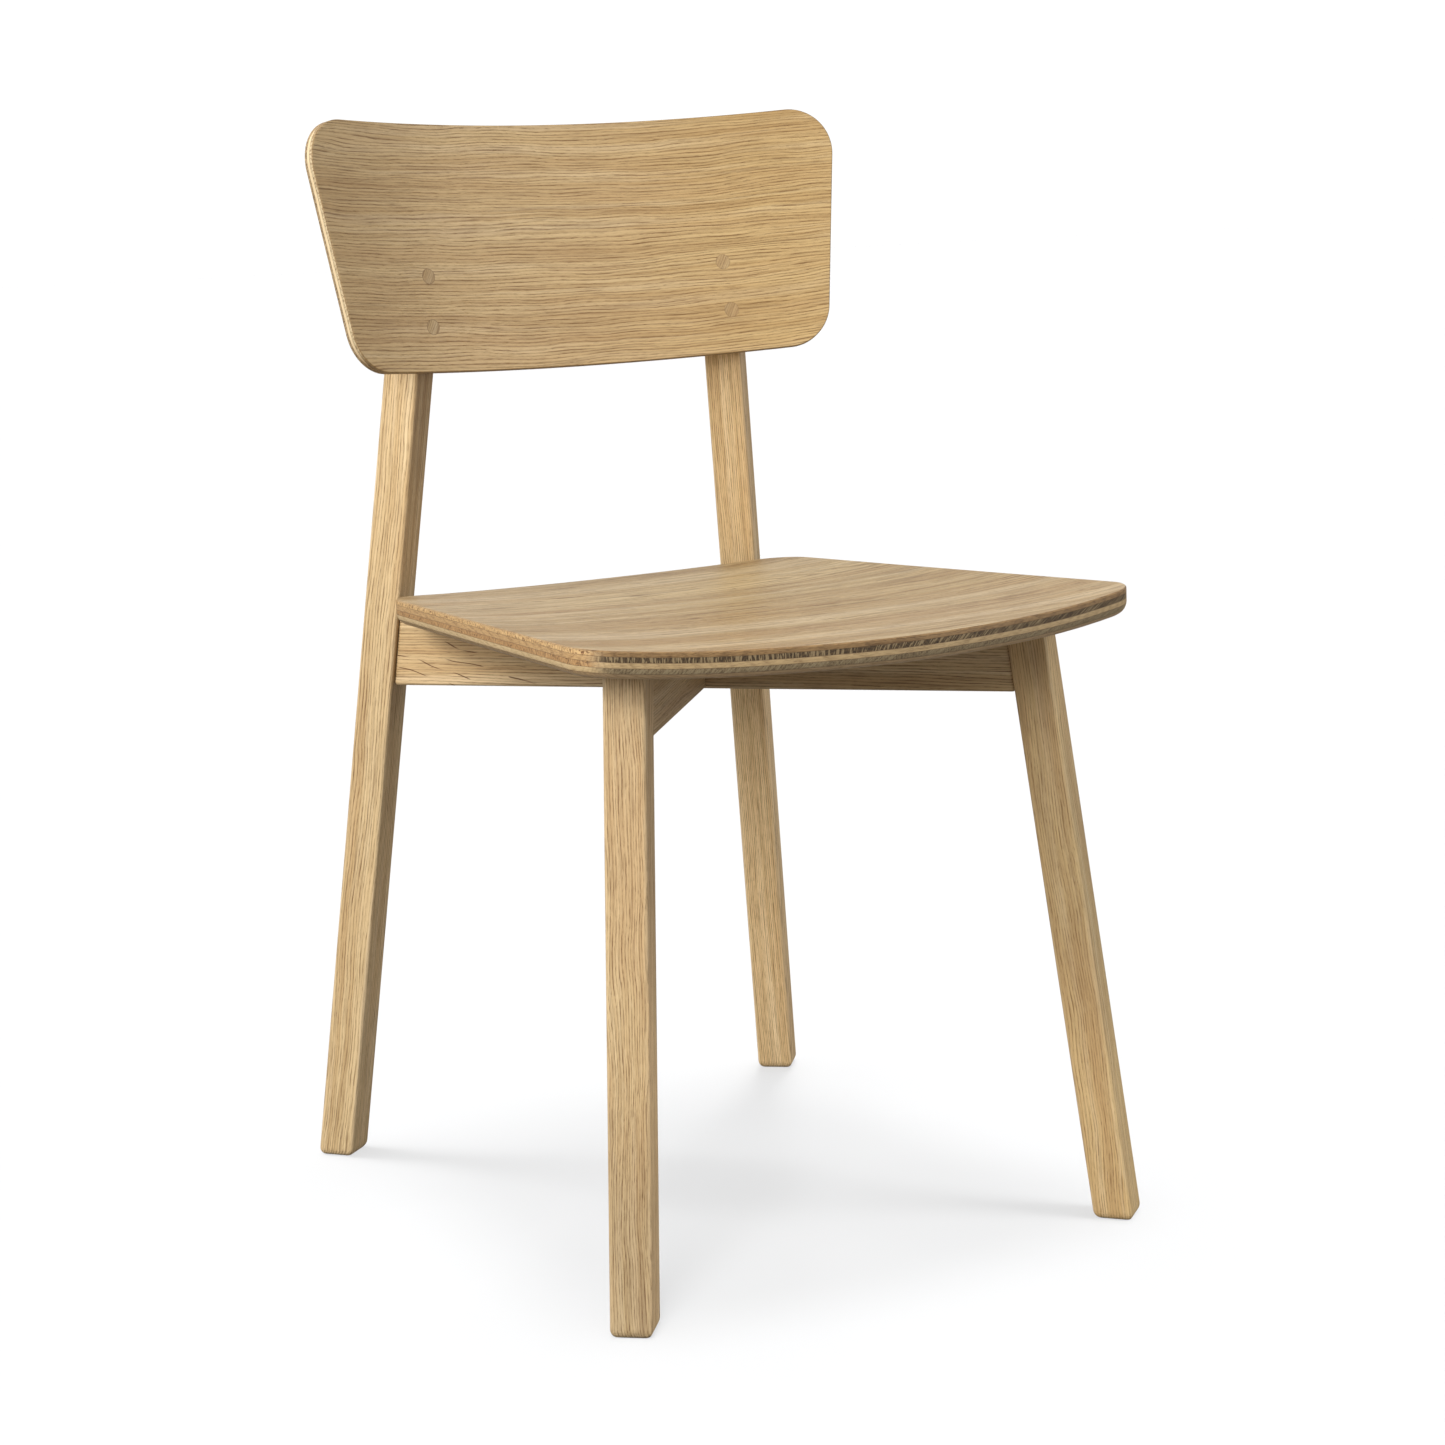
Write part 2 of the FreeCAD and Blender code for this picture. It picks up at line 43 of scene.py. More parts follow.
# ------------------------------------------------------------------ node helpers
class Net:
    """A small builder for shader node trees."""

    def __init__(self, name):
        self.mat = bpy.data.materials.new(name)
        self.mat.use_nodes = True
        self.nt = self.mat.node_tree
        self.nt.nodes.clear()

    def new(self, kind, **props):
        n = self.nt.nodes.new(kind)
        for k, v in props.items():
            setattr(n, k, v)
        return n

    def put(self, socket, value):
        if isinstance(value, bpy.types.NodeSocket):
            self.nt.links.new(value, socket)
        else:
            socket.default_value = value

    def m(self, op, a, b=0.0, c=0.0, clamp=False):
        n = self.new("ShaderNodeMath", operation=op, use_clamp=clamp)
        for i, v in enumerate((a, b, c)):
            if i < len(n.inputs):
                self.put(n.inputs[i], v)
        return n.outputs[0]

    def add(self, a, b):
        return self.m("ADD", a, b)

    def sub(self, a, b):
        return self.m("SUBTRACT", a, b)

    def mul(self, a, b):
        return self.m("MULTIPLY", a, b)

    def mad(self, a, b, c):
        return self.m("MULTIPLY_ADD", a, b, c)

    def v(self, op, a, b=None):
        n = self.new("ShaderNodeVectorMath", operation=op)
        self.put(n.inputs[0], a)
        if b is not None:
            self.put(n.inputs[1], b)
        return n.outputs["Value"] if op in ("DOT_PRODUCT", "LENGTH") else n.outputs[0]

    def xyz(self, x, y, z):
        n = self.new("ShaderNodeCombineXYZ")
        for s, q in zip(n.inputs, (x, y, z)):
            self.put(s, q)
        return n.outputs[0]

    def noise(self, vec, detail=2.0, rough=0.5, scale=1.0, distortion=0.0):
        n = self.new("ShaderNodeTexNoise", noise_dimensions="3D")
        self.put(n.inputs["Vector"], vec)
        n.inputs["Scale"].default_value = scale
        n.inputs["Detail"].default_value = detail
        n.inputs["Roughness"].default_value = rough
        n.inputs["Distortion"].default_value = distortion
        return n.outputs["Fac"]

    def grain(self, c, sl, sr, st, seed, detail=2.0, rough=0.5):
        """Noise stretched by sl, sr, st millimetres along, across and through the board."""
        l, r, t = c
        return self.noise(self.xyz(self.mad(l, 1.0 / sl, seed * 7.31), self.mad(r, 1.0 / sr, seed * 3.17 + 5.0),
                                   self.mad(t, 1.0 / st, seed * 1.93 + 9.0)), detail, rough)

    def ramp(self, x, x0, x1, y0=0.0, y1=1.0, smooth=True):
        n = self.new("ShaderNodeMapRange", interpolation_type="SMOOTHSTEP" if smooth else "LINEAR", clamp=True) \
            if smooth else self.new("ShaderNodeMapRange", clamp=True)
        for i, q in enumerate((x, x0, x1, y0, y1)):
            self.put(n.inputs[i], q)
        return n.outputs[0]

    def mix(self, f, a, b, blend="MIX"):
        n = self.new("ShaderNodeMix", data_type="RGBA", blend_type=blend, clamp_factor=True)
        self.put(n.inputs["Factor"], f)
        for s, q in (("A", a), ("B", b)):
            sock = [i for i in n.inputs if i.name == s and i.type == "RGBA"][0]
            self.put(sock, q if isinstance(q, bpy.types.NodeSocket) else (q[0], q[1], q[2], 1.0))
        return [o for o in n.outputs if o.type == "RGBA"][0]

    def scale_colour(self, col, f):
        n = self.new("ShaderNodeVectorMath", operation="SCALE")
        self.put(n.inputs[0], col)
        self.put(n.inputs["Scale"], f)
        return n.outputs[0]


def srgb(r, g, b):
    def f(c):
        c /= 255.0
        return c / 12.92 if c <= 0.04045 else ((c + 0.055) / 1.055) ** 2.4
    return (f(r), f(g), f(b))


# ------------------------------------------------------------------ board coordinates, in mm
def point_mm(n):
    tc = n.new("ShaderNodeTexCoord")
    return n.v("MULTIPLY", tc.outputs["Object"], (1000.0, 1000.0, 1000.0))


def straight(n, origin, L, A, B):
    """(along the grain, across, across) for a straight board."""
    p = n.v("SUBTRACT", point_mm(n), tuple(origin))
    return n.v("DOT_PRODUCT", p, tuple(L)), n.v("DOT_PRODUCT", p, tuple(A)), n.v("DOT_PRODUCT", p, tuple(B))


def seat_coords(n):
    """x, y and the height above the seat's hollow top face."""
    p = point_mm(n)
    s = n.new("ShaderNodeSeparateXYZ")
    n.put(s.inputs[0], p)
    x, y, z = s.outputs
    xk = SEAT_HALF / 2.0
    zk = SEAT_SAG * 0.5 ** 2.6
    r1 = (xk * xk + zk * zk) / (2 * zk)
    a = math.asin(xk / r1)
    tx, tz = math.cos(a), math.sin(a)
    qx, qz = SEAT_HALF - xk, SEAT_SAG - zk
    r2 = (qx * qx + qz * qz) / (2 * abs(tx * qz - tz * qx))
    cx, cz = xk - r2 * tz, zk + r2 * tx
    ax = n.m("ABSOLUTE", x)
    inner = n.sub(r1, n.m("SQRT", n.sub(r1 * r1, n.mul(ax, ax))))
    dx = n.sub(ax, cx)
    outer = n.sub(cz, n.m("SQRT", n.sub(r2 * r2, n.mul(dx, dx))))
    far = n.m("GREATER_THAN", ax, xk)
    f = n.add(n.mul(inner, n.sub(1.0, far)), n.mul(outer, far))
    base = n.mad(y, SEAT_SLOPE, SEAT_Z - SEAT_SAG - SEAT_SLOPE * SEAT_REF_Y)
    return x, y, n.sub(n.sub(z, base), f)


def back_coords(n):
    """Along the curve, up the panel, and the depth behind the front face."""
    p = n.v("SUBTRACT", point_mm(n), tuple(B_AXIS))
    x = n.v("DOT_PRODUCT", p, tuple(BX))
    w = n.v("DOT_PRODUCT", p, tuple(-BN))
    v = n.v("DOT_PRODUCT", p, tuple(BV))
    u = n.mul(n.m("ARCTAN2", x, w), BACK_R)
    off = n.sub(n.m("SQRT", n.add(n.mul(x, x), n.mul(w, w))), BACK_R)
    return u, v, off


# ------------------------------------------------------------------ oak
def oak(name, coords, L, seed, turn=30.0, pith=(120.0, 20.0), ring=2.3, tilt=0.02, wave=5.0, figure=1.0,
        tone=1.0, hue=0.0, end_dark=0.52, fleck=0.35, pore=1.0, rough=0.46, bump=1.0, edges=None, plies=None,
        streak=1.0, warm=0.5, ray_end=0.5, speckle=0.75, side=None, extra=None, painted_light_tint=None, checks=0.0,
        long=1.0, broad=1.0, sway=1.9, end_tone=None, stroke=None, gain=1.0,
        spot=0.6, along=(), fine=1.0):
    """Solid oak: growth rings round a pith, open pores in rows, rays, and darker end grain.

    coords gives (along, across, across) in mm; turn is the angle between the second and the radial direction."""
    n = Net(name)
    l, a, b = coords(n)
    ca, sa = math.cos(math.radians(turn)), math.sin(math.radians(turn))
    # slow wander of the fibres, so that lines are never ruled
    w1 = n.sub(n.noise(n.xyz(n.mad(l, 1 / 150.0, seed), n.mad(a, 1 / 45.0, seed * 2.0), n.mad(b, 1 / 45.0, 3.0)), 2.0, 0.5), 0.5)
    w2 = n.sub(n.noise(n.xyz(n.mad(l, 1 / 26.0, seed + 4.0), n.mad(a, 1 / 9.0, seed), n.mad(b, 1 / 9.0, 1.0)), 2.0, 0.5), 0.5)
    wob = n.add(n.mul(w1, wave), n.mul(w2, sway))
    a2 = n.add(a, wob)
    b2 = n.add(b, n.mul(wob, 0.6))
    r = n.add(n.mul(a2, ca), n.mul(b2, sa))
    t = n.sub(n.mul(b2, ca), n.mul(a2, sa))
    c = (l, r, t)

    # growth rings: the pith runs beside the board and leans across it a little
    rr = n.add(n.mad(l, tilt, pith[0]), r)
    tt = n.add(t, pith[1])
    rho = n.m("SQRT", n.add(n.mul(rr, rr), n.mul(tt, tt)))
    drift = n.noise(n.xyz(n.mad(l, 1 / 400.0, seed), n.mad(rho, 1 / 17.0, seed), 0.5), 2.0, 0.6)
    phase = n.m("FRACT", n.add(n.mul(rho, 1.0 / ring), n.mul(drift, 3.0)))
    early = n.mul(n.ramp(phase, 0.0, 0.10), n.ramp(phase, 0.55, 0.20))      # porous band of each ring
    year = n.noise(n.xyz(n.mad(l, 1 / 500.0, seed), n.mad(rho, 1 / (ring * 2.6), seed + 2.0), 0.3), 2.0, 0.6)

    # pores: short dark grooves along the grain, crowded in the early wood
    p1 = n.grain(c, 6.5, 0.34, 0.34, seed + 2.0, 2.0, 0.6)
    p2 = n.grain(c, 17.0 * long, 0.80 * fine, 0.80 * fine, seed + 3.0, 2.0, 0.6)
    p3 = n.grain(c, 44.0 * long, 1.25 * fine, 1.25 * fine, seed + 4.0, 2.0, 0.6)
    pores = n.mul(n.ramp(p1, 0.52, 0.66), n.mad(early, 0.7, 0.3))
    dash = n.ramp(p2, 0.42, 0.62)
    rows = n.mul(early, n.mad(dash, 0.75, 0.25))
    lines = n.ramp(p2, 0.54, 0.70)
    fibre = n.grain(c, 80.0 * long, 2.0 * fine, 2.0 * fine, seed + 5.0, 3.0, 0.65)
    cloud = n.grain(c, 170.0 * broad, 22.0 * broad, 22.0 * broad, seed + 6.0, 2.0, 0.5)
    band = n.grain(c, 330.0 * broad, 8.0 * broad, 8.0 * broad, seed + 7.0, 3.0, 0.55)

    # rays: thin ribbons that lie in the radial direction
    ray = n.ramp(n.grain(c, 9.0, 6.0, 0.30, seed + 8.0, 1.0), 0.60, 0.70)
    wide_ray = n.ramp(n.grain(c, 11.0, 16.0, 0.9, seed + 9.0, 1.0), 0.63, 0.72)

    geo = n.new("ShaderNodeNewGeometry")
    end = n.m("ABSOLUTE", n.v("DOT_PRODUCT", geo.outputs["Normal"], tuple(L)))
    end = n.ramp(end, 0.50, 0.86)

    light = srgb(*[min(255.0, q * tone * LIFT) for q in (209 + 3 * hue, 182, 138 - 6 * hue)])
    mid = srgb(*[q * tone * LIFT for q in (186 + 4 * hue, 156, 111 - 6 * hue)])
    dark = srgb(*[q * tone * LIFT for q in (119 + 4 * hue, 89, 54 - 3 * hue)])
    red = srgb(*[q * tone * LIFT for q in (186, 149, 103)])
    pale = srgb(*[min(255.0, q * tone * LIFT) for q in (220, 196, 158)])
    col = n.mix(n.mul(rows, 0.60 * figure), light, mid)
    col = n.mix(n.ramp(year, 0.44, 0.62, 0.0, 0.55 * figure), col, mid)
    col = n.mix(n.ramp(band, 0.34, 0.50, 0.45 * streak, 0.0), col, pale)
    col = n.mix(n.ramp(band, 0.48, 0.66, 0.0, 0.50 * streak), col, n.mix(0.4, mid, red))
    col = n.mix(n.ramp(cloud, 0.40, 0.66, 0.0, warm), col, red)
    col = n.mix(n.ramp(fibre, 0.50, 0.68, 0.0, 0.34 * streak), col, dark)
    col = n.mix(n.ramp(p3, 0.54, 0.68, 0.0, 0.26 * streak), col, dark)
    col = n.mix(n.mul(rows, 0.40 * pore), col, dark)
    col = n.mix(n.mul(lines, 0.24 * pore), col, dark)
    col = n.mix(n.mul(pores, 0.45 * pore), col, dark)
    col = n.mix(n.mul(wide_ray, fleck), col, pale)
    col = n.mix(n.mul(n.mul(ray, fleck), 0.6), col, dark)
    if checks:
        # a few hairline checks, slanting off the grain
        bend = n.mul(n.sub(n.noise(n.xyz(n.mad(l, 1 / 60.0, seed), n.mul(a, 1 / 30.0), 0.0), 1.0), 0.5), 14.0)
        q = n.add(n.add(a, n.mul(l, 0.30)), bend)
        hair = n.ramp(n.m("ABSOLUTE", n.sub(n.m("FRACT", n.mul(q, 1 / 11.0)), 0.5)), 0.055, 0.02)
        line = n.m("FLOOR", n.mul(q, 1 / 11.0))
        where = n.ramp(n.noise(n.xyz(n.mad(l, 1 / 26.0, seed + 2.0), n.mul(line, 7.3), 0.0), 1.0), 0.50, 0.60)
        where = n.mul(where, n.ramp(l, -60.0, -115.0))
        col = n.mix(n.mul(n.mul(hair, where), checks), col, srgb(104, 72, 42))

    # end grain: open pore mouths, rings and rays, and it takes more oil
    if gain != 1.0:
        mean = srgb(*[q * tone * LIFT for q in (194, 165, 121)])
        gn = n.new("ShaderNodeVectorMath", operation="MULTIPLY_ADD")
        n.put(gn.inputs[0], col)
        gn.inputs[1].default_value = (gain, gain, gain)
        gn.inputs[2].default_value = tuple(q * (1.0 - gain) for q in mean)
        col = n.v("MAXIMUM", gn.outputs[0], (0.02, 0.012, 0.006))

    e1, e2, e3, e4 = end_tone or (
        [min(255.0, q * tone * LIFT * end_dark ** 0.5) for q in (200, 165, 116)],
        [min(255.0, q * tone * LIFT * end_dark) for q in (156, 120, 78)],
        [q * (0.6 + 0.5 * end_dark) for q in (74, 54, 34)],
        [min(255.0, q * tone * LIFT) for q in (200, 172, 130)])
    endcol = n.mix(n.mad(early, 0.6, 0.10), srgb(*e1), srgb(*e2))
    speck = n.ramp(n.noise(n.xyz(n.mul(l, 0.02), n.mad(r, spot, seed), n.mul(t, spot)), 3.0, 0.75), 0.49, 0.58)
    endcol = n.mix(n.mul(speck, speckle), endcol, srgb(*e3))
    if stroke:
        st = stroke(n)
        endray = n.ramp(n.noise(n.xyz(n.mul(st, 0.80), n.mul(b, 0.12), n.mul(l, 0.02)), 1.0, 0.6), 0.50, 0.58)
    else:
        endray = n.ramp(n.noise(n.xyz(n.mul(l, 0.02), n.mad(r, 0.14, seed), n.mul(t, 0.85)), 1.0, 0.5), 0.53, 0.60)
    endcol = n.mix(n.mul(endray, ray_end), endcol, srgb(*e4))
    col = n.mix(end, col, endcol)

    if plies:
        if plies[3] == "radial":
            spoke = n.v("SUBTRACT", point_mm(n), tuple(B_AXIS))
            axial = n.new("ShaderNodeVectorMath", operation="PROJECT")
            n.put(axial.inputs[0], spoke)
            axial.inputs[1].default_value = tuple(BV)
            out_dir = n.v("NORMALIZE", n.v("SUBTRACT", spoke, axial.outputs[0]))
            flat = n.m("ABSOLUTE", n.v("DOT_PRODUCT", geo.outputs["Normal"], out_dir))
        else:
            flat = n.m("ABSOLUTE", n.v("DOT_PRODUCT", geo.outputs["Normal"], plies[3]))
        wall = n.m("SUBTRACT", 1.0, n.ramp(flat, 0.80, 0.985))
        if side:
            curl = n.noise(n.xyz(n.mad(l, 1 / 30.0, seed), n.mad(a, 1 / 30.0, 3.0), n.mul(b, 0.42)), 3.0, 0.6)
            long_lines = n.ramp(n.m("ABSOLUTE", n.sub(n.m("FRACT", n.mul(curl, 9.0)), 0.5)), 0.30, 0.10)
            skin = n.mix(n.mad(long_lines, 0.55, n.mul(rows, 0.4)), srgb(*side[1]), srgb(*side[2]))
            col = n.mix(n.mul(n.mul(wall, n.sub(1.0, end)), side[0]), col, skin)
    if plies:
        # thin dark glue line on both faces of a ply: plies is (low, high) in the third coordinate
        lo = n.m("ABSOLUTE", n.sub(b, plies[0]))
        hi = n.m("ABSOLUTE", n.sub(b, plies[1]))
        near = n.m("MINIMUM", lo, hi) if plies[2] == 2 else (lo if plies[2] == 0 else hi)
        glue = n.mul(n.ramp(near, 0.42, 0.12), wall)
        col = n.mix(n.mul(glue, 0.45), col, srgb(88, 64, 40))

    for x0, x1, m0, m1 in along:
        # painted light and shade: the board made slowly lighter or darker from one end to the other, standing in for
        # uneven lighting along it
        col = n.scale_colour(col, n.ramp(l, x0, x1, m0, m1))
    if painted_light_tint:
        # painted light and shade: one side or part of the board made lighter, darker or more tan to stand in for how
        # the lamps and their sheen fall on it
        col = n.mix(painted_light_tint[0](n), col, n.mix(1.0, col, painted_light_tint[1], "MULTIPLY"))
    if extra:
        col = extra(n, col)
    if edges:
        # arrises handled and sanded: a touch paler
        e = edges(n)
        col = n.mix(n.mul(e, 0.30), col, pale)

    bsdf = n.new("ShaderNodeBsdfPrincipled")
    n.put(bsdf.inputs["Base Color"], col)
    ro = n.mad(pores, 0.16, rough)
    ro = n.mad(fibre, 0.10, ro)
    ro = n.add(ro, n.mul(end, 0.12))
    n.put(bsdf.inputs["Roughness"], ro)
    bsdf.inputs["Specular IOR Level"].default_value = 0.45

    high = n.sub(n.mad(fibre, 0.22, 0.6), n.mul(pores, 0.55))
    high = n.sub(high, n.mul(rows, 0.30))
    high = n.sub(high, n.mul(n.mul(speck, end), 0.35))
    bp = n.new("ShaderNodeBump")
    bp.inputs["Strength"].default_value = 0.55 * bump
    bp.inputs["Distance"].default_value = 0.00025
    n.put(bp.inputs["Height"], high)
    n.put(bsdf.inputs["Normal"], bp.outputs[0])
    out = n.new("ShaderNodeOutputMaterial")
    n.put(out.inputs["Surface"], bsdf.outputs[0])
    return n.mat


def dress(node, mat):
    me = nodes[node].data
    me.materials.clear()
    me.materials.append(mat)


# ------------------------------------------------------------------ legs
def leg_frame(name):
    fx, fy, lx, ly, side, rear = FEET[name]
    L = Vector((lx, ly, 1.0)).normalized()
    e1 = Vector((side * math.sin(LEG_TURN), math.cos(LEG_TURN) if rear else -math.cos(LEG_TURN), 0))
    A = (e1 - L * e1.dot(L)).normalized()
    B = L.cross(A)
    return Vector((fx, fy, 0.0)), L, A, B


def leg_edges(origin, L, A, B):
    def f(n):
        l, a, b = straight(n, origin, L, A, B)
        s = n.add(n.m("ABSOLUTE", a), n.m("ABSOLUTE", b))
        worn = n.noise(n.v("MULTIPLY", point_mm(n), (0.06, 0.06, 0.02)), 2.0)
        return n.mul(n.ramp(s, 25.6, 27.4), n.ramp(worn, 0.35, 0.6, 0.3, 1.0))
    return f


def toward(origin, L, A, B, which, x0, x1, span=None):
    def f(n):
        c = straight(n, origin, L, A, B)
        t = n.ramp(c[which], x0, x1)
        return n.mul(t, n.ramp(c[0], span[1], span[0])) if span else t
    return f


# the along ramps here are painted light and shade down each leg, lighter or darker where the seat shades it and the
# lamps reach it
LEGS = {
    "leg_front_left": dict(turn=58.0, pith=(64.0, 10.0), ring=1.55, tilt=0.020, seed=3.1, tone=1.0, hue=0.1, warm=0.30, wave=15.0, gain=1.32, fine=1.0,
                           along=((70.0, 190.0, 0.84, 1.04),)),
    "leg_front_right": dict(turn=22.0, pith=(58.0, 14.0), ring=1.8, tilt=-0.014, seed=8.4, tone=0.985, hue=1.2, warm=0.45, wave=11.0, gain=1.08, fine=1.0,
                            along=((90.0, 230.0, 1.14, 0.92), (300.0, 400.0, 1.0, 1.12))),
    "leg_rear_left": dict(turn=48.0, pith=(80.0, -16.0), ring=1.7, tilt=0.010, seed=13.7, tone=1.03, hue=0.1, warm=0.15, wave=9.0, gain=1.32, fine=1.0,
                          along=((440.0, 620.0, 1.0, 1.10),)),
    "leg_rear_right": dict(turn=70.0, pith=(52.0, 6.0), ring=1.6, tilt=-0.022, seed=21.9, tone=1.06, hue=0.2, warm=0.20, wave=9.0, gain=1.28, fine=1.0,
                           along=((240.0, 460.0, 1.18, 1.0),)),
}
for name, kw in LEGS.items():
    o, L, A, B = leg_frame(name)
    # painted light and shade on one narrow face of three legs: lightened low down on the front left leg, darkened high
    # up on the rear left leg, lightened along the front right leg
    if name == "leg_front_left":
        kw["painted_light_tint"] = (toward(o, L, A, B, 2, 12.6, 14.0, (80.0, 340.0)), (1.60, 1.58, 1.58))
    if name == "leg_rear_left":
        kw["painted_light_tint"] = (toward(o, L, A, B, 1, -12.6, -14.0, (600.0, 400.0)), (0.56, 0.55, 0.56))
    if name == "leg_front_right":
        kw["painted_light_tint"] = (toward(o, L, A, B, 1, 10.5, 13.5), (1.20, 1.26, 1.30))
    dress(name, oak("oak_" + name, lambda n, o=o, L=L, A=A, B=B: straight(n, o, L, A, B), L,
                    edges=leg_edges(o, L, A, B), figure=0.8, fleck=0.12, streak=0.7, pore=1.25, long=1.5, sway=1.0, end_dark=0.62, **kw))


# ------------------------------------------------------------------ rails
def rail_axes(side):
    z = 379.9 + 24.0

    def ax(name):
        fx, fy, lx, ly, s, rear = FEET[name]
        return Vector((fx + lx * z, fy + ly * z, z))
    a = ax("leg_rear_left" if side < 0 else "leg_rear_right")
    b = ax("leg_front_right" if side < 0 else "leg_front_left")
    L = (b - a)
    L.z = -0.018 * (b.y - a.y)
    L.normalize()
    A = Vector((0, 0, 1))
    A = (A - L * A.dot(L)).normalized()
    return (a + b) / 2, L, A, L.cross(A)


# the along ramp on the first rail is painted light: its rear-left end is lightened where the key lamp reaches it
for name, side, kw in (
    ("rail_rear_left_front_right", -1, dict(turn=14.0, pith=(90.0, 4.0), ring=2.1, tilt=0.012, seed=31.0, tone=1.0, hue=0.1, warm=0.20, fleck=0.05, long=2.0, sway=0.7, pore=1.3, gain=1.25, checks=0.8, along=((-190.0, -60.0, 1.16, 1.0),))),
    ("rail_rear_right_front_left", 1, dict(turn=20.0, pith=(80.0, -8.0), ring=2.0, tilt=0.012, seed=37.0, tone=0.98, hue=0.4, warm=0.35, fleck=0.12, long=1.6, pore=1.2)),
):
    o, L, A, B = rail_axes(side)
    dress(name, oak("oak_" + name, lambda n, o=o, L=L, A=A, B=B: straight(n, o, L, A, B), L,
                    wave=4.0, figure=1.0, streak=1.0, **kw))

# ------------------------------------------------------------------ seat plies


def seat_x(n):
    x, y, h = seat_coords(n)
    return x, y, h


def seat_y(n):
    x, y, h = seat_coords(n)
    return y, x, h


def seat_painted_sheen(n):
    """Painted sheen: the top veneer is made a little deeper tan behind and to the right, so the left front reads paler
    as if catching the sheen.
    """
    x, y, z = seat_coords(n)
    return n.mul(n.ramp(x, -190.0, 20.0, 0.2, 1.0), n.ramp(y, -200.0, -90.0, 0.25, 1.0))


def slant(k0, k1):
    """Strokes across a ply's front edge that lean over more and more toward the right."""
    def f(n):
        x, y, z = seat_coords(n)
        k = n.ramp(x, -110.0, 190.0, k0, k1)
        return n.sub(x, n.mul(z, k))
    return f


# on the top ply the deeper tan behind and to the right is painted sheen: the left front stays paler as if catching the
# light
for name, i, coords, L, kw in (
    ("seat_ply_1_top", 0, seat_x, BX, dict(turn=84.0, pith=(26.0, 62.0), ring=3.6, tilt=0.034, seed=41.0, tone=0.952, hue=0.0, warm=0.15, painted_light_tint=(seat_painted_sheen, (0.945, 0.925, 0.83)), wave=26.0, figure=1.0, fleck=0.10, pore=0.8, streak=1.4, broad=2.9, long=2.0, rough=0.42, gain=1.5,
        side=(0.95, (157, 124, 82), (98, 71, 43)), speckle=1.0, ray_end=0.5, spot=0.55,
        end_tone=((208, 172, 120), (178, 136, 88), (120, 84, 50), (218, 186, 134)))),
    ("seat_ply_2", 1, seat_y, Vector((0, 1, 0)), dict(turn=52.0, pith=(90.0, 5.0), ring=2.2, tilt=0.05, seed=45.0, tone=1.0, wave=9.0, figure=1.2, ray_end=0.80, speckle=0.5, stroke=slant(0.0, 2.2),
        side=(0.9, (186, 150, 102), (128, 94, 58)), end_tone=((92, 72, 46), (58, 44, 27), (44, 33, 20), (158, 136, 100)))),
    ("seat_ply_3", 2, seat_x, BX, dict(turn=70.0, pith=(60.0, 30.0), ring=2.4, tilt=0.02, seed=49.0, tone=0.99, wave=6.0, figure=0.8,
        side=(0.85, (194, 166, 122), (150, 122, 84)), end_tone=((176, 136, 88), (138, 102, 62), (92, 66, 40), (190, 152, 104)))),
    ("seat_ply_4", 3, seat_y, Vector((0, 1, 0)), dict(turn=35.0, pith=(80.0, -25.0), ring=2.1, tilt=0.02, seed=53.0, tone=1.0, wave=6.0, figure=1.0, ray_end=0.55, speckle=0.55, stroke=slant(0.8, 3.0),
        side=(0.8, (208, 182, 138), (168, 140, 98)), end_tone=((150, 130, 98), (120, 102, 74), (86, 70, 48), (176, 158, 124)))),
    ("seat_ply_5_bottom", 4, seat_x, BX, dict(turn=76.0, pith=(40.0, 60.0), ring=2.5, tilt=0.025, seed=57.0, tone=1.0, hue=0.4, wave=12.0, figure=0.85,
        side=(0.8, (190, 160, 122), (150, 120, 86)), end_tone=((172, 140, 100), (140, 110, 76), (100, 76, 50), (190, 160, 120)))),
):
    dress(name, oak("oak_" + name, coords, L, plies=(-(i + 1) * PLY_T, -i * PLY_T, 0 if i == 0 else (1 if i == 4 else 2), UP), **kw))


# ------------------------------------------------------------------ backrest plies
def back_u(n):
    u, v, off = back_coords(n)
    return u, v, off


def back_v(n):
    u, v, off = back_coords(n)
    return v, u, off


def plug_distance(n):
    """Distance to the middle of the nearest plug, in the panel's own surface."""
    u, v, off = back_coords(n)
    near = None
    for pu, pv in PLUGS:
        du, dv = n.sub(u, pu), n.sub(v, pv)
        d = n.m("SQRT", n.add(n.mul(du, du), n.mul(dv, dv)))
        near = d if near is None else n.m("MINIMUM", near, d)
    return near


def plug_seam(n, col):
    d = plug_distance(n)
    ring = n.mul(n.ramp(d, 5.15, 5.6), n.ramp(d, 6.15, 5.85))
    u, v, off = back_coords(n)
    return n.mix(n.mul(ring, n.ramp(u, -60.0, 60.0, 0.45, 0.22)), col, srgb(104, 76, 48))


